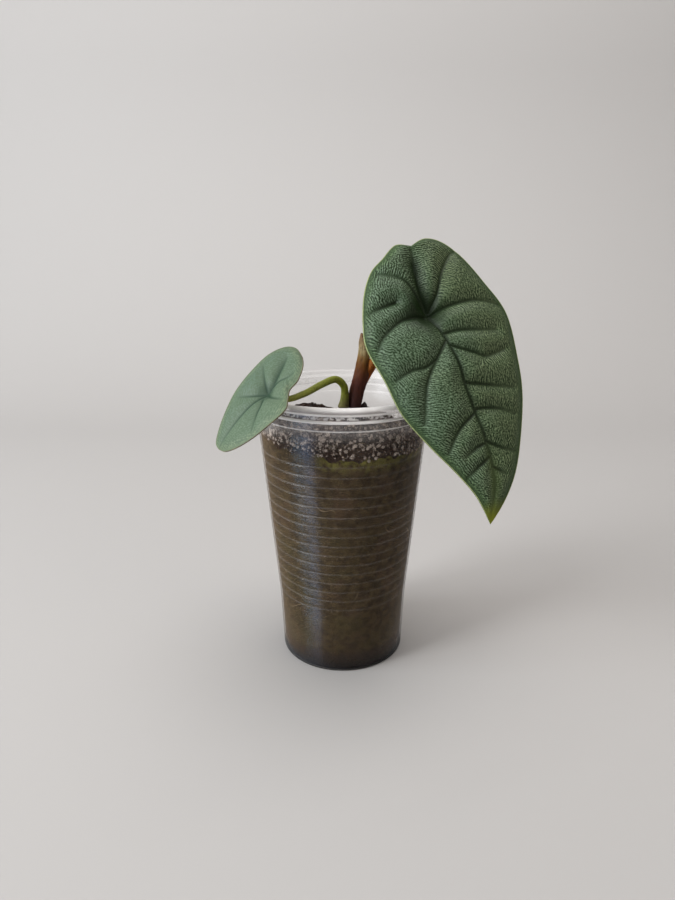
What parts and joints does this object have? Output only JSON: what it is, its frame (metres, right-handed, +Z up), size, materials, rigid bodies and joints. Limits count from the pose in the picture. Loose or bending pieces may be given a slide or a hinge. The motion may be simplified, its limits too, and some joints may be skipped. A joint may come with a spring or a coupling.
{
  "type": "potted alocasia",
  "caption": "Young alocasia with a large quilted dark green leaf and a small pale leaf, potted in a clear ribbed plastic cup of soil.",
  "frame": {"origin": "centre of the cup's flat underside", "axes": "+Z up along the cup's axis, -Y towards the front, and the large leaf hangs at the front right towards +X and -Y"},
  "size_m": [0.1134, 0.0899, 0.1761],
  "materials": {
    "clear_plastic": "clear, slightly cloudy thin plastic with ribs and beads of condensation",
    "soil": "moist dark brown crumbly potting soil",
    "corm": "dark maroon, scaly and matt",
    "stem": "smooth maroon brown, turning orange brown, waxy",
    "young_stem": "smooth olive green with dark flecks, waxy",
    "sheath": "thin, dry, brown and papery towards the tip",
    "leaf": "thick quilted dark blue green blade with a fine wrinkled satin surface",
    "young_leaf": "smoother pale blue green blade with a satin surface and a thin reddish edge"
  },
  "bodies": {
    "root": {"cup": "clear_plastic", "soil": "soil", "corm": "corm", "petiole_large": "stem", "sheath": "sheath", "petiole_small": "young_stem", "blade_large": "leaf", "blade_small": "young_leaf"}
  },
  "joints": []
}
